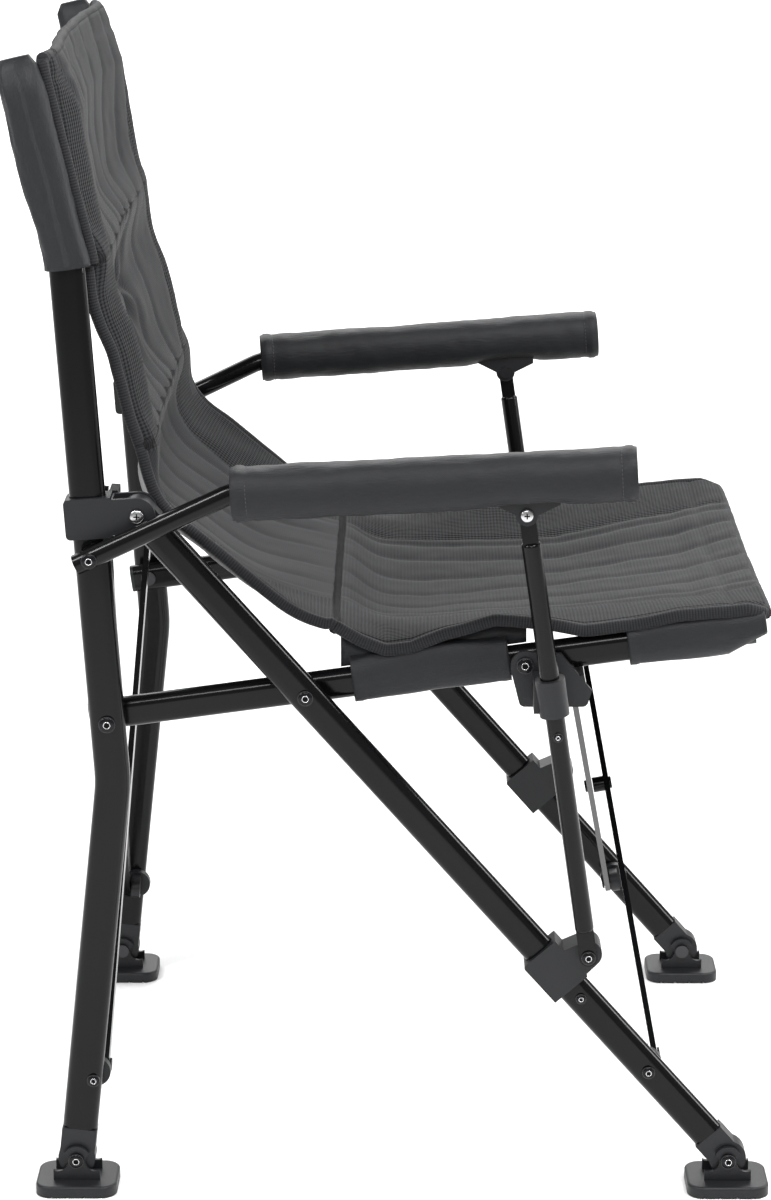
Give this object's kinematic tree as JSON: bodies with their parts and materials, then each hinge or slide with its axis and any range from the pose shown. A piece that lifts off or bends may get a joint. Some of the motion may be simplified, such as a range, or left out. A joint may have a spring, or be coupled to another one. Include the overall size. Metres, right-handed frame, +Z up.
{
  "type": "folding camp chair",
  "caption": "Fold-up hard-arm camp chair: sling seat and high back in dark fabric on a black tube frame, padded arm rests, sliding collars, crossed bars and tilting feet.",
  "frame": {"origin": "middle of the footprint on the floor, under the centre of the bounding box", "axes": "+Z up, the chair faces -Y, the sitter's right hand is at -X"},
  "size_m": [0.6782, 0.645, 0.9754],
  "materials": {
    "frame_tube": "gloss black powder coat",
    "flat_bar": "gloss black powder coat",
    "moulded_plastic": "satin dark grey moulded plastic",
    "foot_plastic": "satin dark grey moulded plastic",
    "fasteners": "zinc plated",
    "arm_fabric": "plain woven polyester",
    "sling_fabric": "woven polyester with mesh strips and ribbed padded channels"
  },
  "bodies": {
    "right_rear_frame": {"right_rear_leg": "frame_tube", "right_rear_boot": "moulded_plastic", "right_rear_rivets": "fasteners", "right_back_sleeve": "sling_fabric", "back_panel": "sling_fabric"},
    "right_rear_foot_unit": {"right_rear_foot": "foot_plastic"},
    "right_front_foot_unit": {"right_front_foot": "foot_plastic"},
    "right_rail_unit": {"right_seat_rail": "frame_tube", "right_rail_plugs": "moulded_plastic", "right_rail_screws": "fasteners", "right_rail_sleeves": "sling_fabric", "seat_panel": "sling_fabric"},
    "right_upper_collar_unit": {"right_upper_collar": "moulded_plastic", "right_upper_pins": "fasteners"},
    "right_front_leg_unit": {"right_front_leg": "frame_tube", "right_front_boots": "moulded_plastic", "right_front_rivets": "fasteners"},
    "right_lower_collar_unit": {"right_lower_collar": "moulded_plastic"},
    "right_arm_unit": {"right_arm_tube": "frame_tube", "right_arm_clip": "moulded_plastic", "right_arm_screws": "fasteners", "right_arm_pad": "arm_fabric"},
    "right_post_unit": {"right_arm_post": "frame_tube", "right_post_bracket": "moulded_plastic", "right_post_rivets": "fasteners"},
    "right_back_bracket_unit": {"right_back_bracket": "moulded_plastic"},
    "right_back_bar_unit": {"right_back_bar": "flat_bar"},
    "right_front_bracket_unit": {"right_front_bracket": "moulded_plastic"},
    "right_front_bar_unit": {"right_front_bar": "flat_bar"},
    "left_rear_frame": {"left_rear_leg": "frame_tube", "left_rear_boot": "moulded_plastic", "left_rear_rivets": "fasteners", "left_back_sleeve": "sling_fabric"},
    "left_rear_foot_unit": {"left_rear_foot": "foot_plastic"},
    "left_front_foot_unit": {"left_front_foot": "foot_plastic"},
    "left_rail_unit": {"left_seat_rail": "frame_tube", "left_rail_plugs": "moulded_plastic", "left_rail_screws": "fasteners", "left_rail_sleeves": "sling_fabric"},
    "left_upper_collar_unit": {"left_upper_collar": "moulded_plastic", "left_upper_pins": "fasteners"},
    "left_front_leg_unit": {"left_front_leg": "frame_tube", "left_front_boots": "moulded_plastic", "left_front_rivets": "fasteners"},
    "left_lower_collar_unit": {"left_lower_collar": "moulded_plastic"},
    "left_arm_unit": {"left_arm_tube": "frame_tube", "left_arm_clip": "moulded_plastic", "left_arm_screws": "fasteners", "left_arm_pad": "arm_fabric"},
    "left_post_unit": {"left_arm_post": "frame_tube", "left_post_bracket": "moulded_plastic", "left_post_rivets": "fasteners"},
    "left_back_bracket_unit": {"left_back_bracket": "moulded_plastic"},
    "left_back_bar_unit": {"left_back_bar": "flat_bar"},
    "left_front_bracket_unit": {"left_front_bracket": "moulded_plastic"},
    "left_front_bar_unit": {"left_front_bar": "flat_bar"},
    "upper_sling_unit": {"upper_sling": "sling_fabric"},
    "lower_sling_unit": {"lower_sling": "sling_fabric"}
  },
  "joints": [
    {"name": "fold", "type": "slide", "parent": "right_rear_frame", "child": "left_rear_frame", "axis": [-1, 0, 0], "range_m": [0, 0.372], "deforming": ["seat_panel", "back_panel", "upper_sling", "lower_sling"]},
    {"name": "right_rear_foot_tilt", "type": "hinge", "parent": "right_rear_frame", "child": "right_rear_foot_unit", "pos_m": [-0.261, 0.2775, 0.0284], "axis": [1, 0, 0], "range_deg": [-30, 30]},
    {"name": "right_rail_fold", "type": "hinge", "parent": "right_rear_frame", "child": "right_rail_unit", "pos_m": [-0.237, 0.2436, 0.418], "axis": [-1, 0, 0], "range_deg": [0, 57.93]},
    {"name": "right_upper_collar_slide", "type": "slide", "parent": "right_rear_frame", "child": "right_upper_collar_unit", "axis": [0, 0.0658, 0.9978], "range_m": [0, 0.17531]},
    {"name": "right_front_leg_fold", "type": "hinge", "parent": "right_upper_collar_unit", "child": "right_front_leg_unit", "pos_m": [-0.261, 0.215, 0.5975], "axis": [1, 0, 0], "range_deg": [0, 26.86]},
    {"name": "right_front_foot_tilt", "type": "hinge", "parent": "right_front_leg_unit", "child": "right_front_foot_unit", "pos_m": [-0.261, -0.2835, 0.0284], "axis": [1, 0, 0], "range_deg": [-35, 30]},
    {"name": "right_lower_collar_slide", "type": "slide", "parent": "right_front_leg_unit", "child": "right_lower_collar_unit", "axis": [0, 0.6589, 0.7522], "range_m": [0, 0.22148]},
    {"name": "right_arm_fold", "type": "hinge", "parent": "right_rear_frame", "child": "right_arm_unit", "pos_m": [-0.286, 0.2534, 0.5646], "axis": [-1, 0, 0], "range_deg": [0, 50.76]},
    {"name": "right_post_fold", "type": "hinge", "parent": "right_arm_unit", "child": "right_post_unit", "pos_m": [-0.308, -0.1039, 0.608], "axis": [1, 0, 0], "range_deg": [0, 67.36]},
    {"name": "right_back_bracket_swivel", "type": "hinge", "parent": "right_rear_frame", "child": "right_back_bracket_unit", "pos_m": [-0.247, 0.2615, 0.1], "axis": [-1, 0, 0], "range_deg": [0, 1.7]},
    {"name": "right_front_bracket_swivel", "type": "hinge", "parent": "right_front_leg_unit", "child": "right_front_bracket_unit", "pos_m": [-0.247, -0.214, 0.1077], "axis": [-1, 0, 0], "range_deg": [0, 16.14]},
    {"name": "right_back_bar_fold", "type": "hinge", "parent": "right_back_bracket_unit", "child": "right_back_bar_unit", "pos_m": [-0.232, 0.2615, 0.1], "axis": [0, -0.9988, -0.0487], "range_deg": [0, 35.19]},
    {"name": "right_front_bar_fold", "type": "hinge", "parent": "right_front_bracket_unit", "child": "right_front_bar_unit", "pos_m": [-0.232, -0.214, 0.1077], "axis": [0, -0.9842, 0.177], "range_deg": [0, 44.45]},
    {"name": "left_rear_foot_tilt", "type": "hinge", "parent": "left_rear_frame", "child": "left_rear_foot_unit", "pos_m": [0.261, 0.2775, 0.0284], "axis": [1, 0, 0], "range_deg": [-30, 30]},
    {"name": "left_rail_fold", "type": "hinge", "parent": "left_rear_frame", "child": "left_rail_unit", "pos_m": [0.237, 0.2436, 0.418], "axis": [-1, 0, 0], "range_deg": [0, 57.93]},
    {"name": "left_upper_collar_slide", "type": "slide", "parent": "left_rear_frame", "child": "left_upper_collar_unit", "axis": [0, 0.0658, 0.9978], "range_m": [0, 0.17531]},
    {"name": "left_front_leg_fold", "type": "hinge", "parent": "left_upper_collar_unit", "child": "left_front_leg_unit", "pos_m": [0.261, 0.215, 0.5975], "axis": [1, 0, 0], "range_deg": [0, 26.86]},
    {"name": "left_front_foot_tilt", "type": "hinge", "parent": "left_front_leg_unit", "child": "left_front_foot_unit", "pos_m": [0.261, -0.2835, 0.0284], "axis": [1, 0, 0], "range_deg": [-35, 30]},
    {"name": "left_lower_collar_slide", "type": "slide", "parent": "left_front_leg_unit", "child": "left_lower_collar_unit", "axis": [0, 0.6589, 0.7522], "range_m": [0, 0.22148]},
    {"name": "left_arm_fold", "type": "hinge", "parent": "left_rear_frame", "child": "left_arm_unit", "pos_m": [0.286, 0.2534, 0.5646], "axis": [-1, 0, 0], "range_deg": [0, 50.76]},
    {"name": "left_post_fold", "type": "hinge", "parent": "left_arm_unit", "child": "left_post_unit", "pos_m": [0.308, -0.1039, 0.608], "axis": [1, 0, 0], "range_deg": [0, 67.36]},
    {"name": "left_back_bracket_swivel", "type": "hinge", "parent": "left_rear_frame", "child": "left_back_bracket_unit", "pos_m": [0.247, 0.2615, 0.1], "axis": [-1, 0, 0], "range_deg": [0, 1.7]},
    {"name": "left_front_bracket_swivel", "type": "hinge", "parent": "left_front_leg_unit", "child": "left_front_bracket_unit", "pos_m": [0.247, -0.214, 0.1077], "axis": [-1, 0, 0], "range_deg": [0, 16.14]},
    {"name": "left_back_bar_fold", "type": "hinge", "parent": "left_back_bracket_unit", "child": "left_back_bar_unit", "pos_m": [0.232, 0.2615, 0.1], "axis": [0, 0.9988, 0.0487], "range_deg": [0, 35.19]},
    {"name": "left_front_bar_fold", "type": "hinge", "parent": "left_front_bracket_unit", "child": "left_front_bar_unit", "pos_m": [0.232, -0.214, 0.1077], "axis": [0, 0.9842, -0.177], "range_deg": [0, 44.45]},
    {"name": "upper_sling_fold", "type": "hinge", "parent": "right_rear_frame", "child": "upper_sling_unit", "pos_m": [0, 0.245, 0.8052], "axis": [1, 0, 0], "range_deg": [0, 78.88]},
    {"name": "lower_sling_fold", "type": "hinge", "parent": "right_rail_unit", "child": "lower_sling_unit", "pos_m": [0, 0.054, 0.49], "axis": [1, 0, 0], "range_deg": [0, 45.53]}
  ],
  "couplings": [
    {"joint": "right_rail_fold", "follows": "fold", "rad_per_m": 2.718},
    {"joint": "right_upper_collar_slide", "follows": "fold", "ratio": 0.47125},
    {"joint": "right_front_leg_fold", "follows": "fold", "rad_per_m": 1.2604},
    {"joint": "right_lower_collar_slide", "follows": "fold", "ratio": 0.59537},
    {"joint": "right_arm_fold", "follows": "fold", "rad_per_m": 2.3815},
    {"joint": "right_post_fold", "follows": "fold", "rad_per_m": 3.1605},
    {"joint": "right_back_bracket_swivel", "follows": "fold", "rad_per_m": 0.079581},
    {"joint": "right_front_bracket_swivel", "follows": "fold", "rad_per_m": 0.75714},
    {"joint": "right_back_bar_fold", "follows": "fold", "rad_per_m": 1.6508},
    {"joint": "right_front_bar_fold", "follows": "fold", "rad_per_m": 2.0853},
    {"joint": "left_rail_fold", "follows": "fold", "rad_per_m": 2.718},
    {"joint": "left_upper_collar_slide", "follows": "fold", "ratio": 0.47125},
    {"joint": "left_front_leg_fold", "follows": "fold", "rad_per_m": 1.2604},
    {"joint": "left_lower_collar_slide", "follows": "fold", "ratio": 0.59537},
    {"joint": "left_arm_fold", "follows": "fold", "rad_per_m": 2.3815},
    {"joint": "left_post_fold", "follows": "fold", "rad_per_m": 3.1605},
    {"joint": "left_back_bracket_swivel", "follows": "fold", "rad_per_m": 0.079581},
    {"joint": "left_front_bracket_swivel", "follows": "fold", "rad_per_m": 0.75714},
    {"joint": "left_back_bar_fold", "follows": "fold", "rad_per_m": 1.6508},
    {"joint": "left_front_bar_fold", "follows": "fold", "rad_per_m": 2.0853},
    {"joint": "upper_sling_fold", "follows": "fold", "rad_per_m": 3.7007},
    {"joint": "lower_sling_fold", "follows": "fold", "rad_per_m": 2.136}
  ]
}
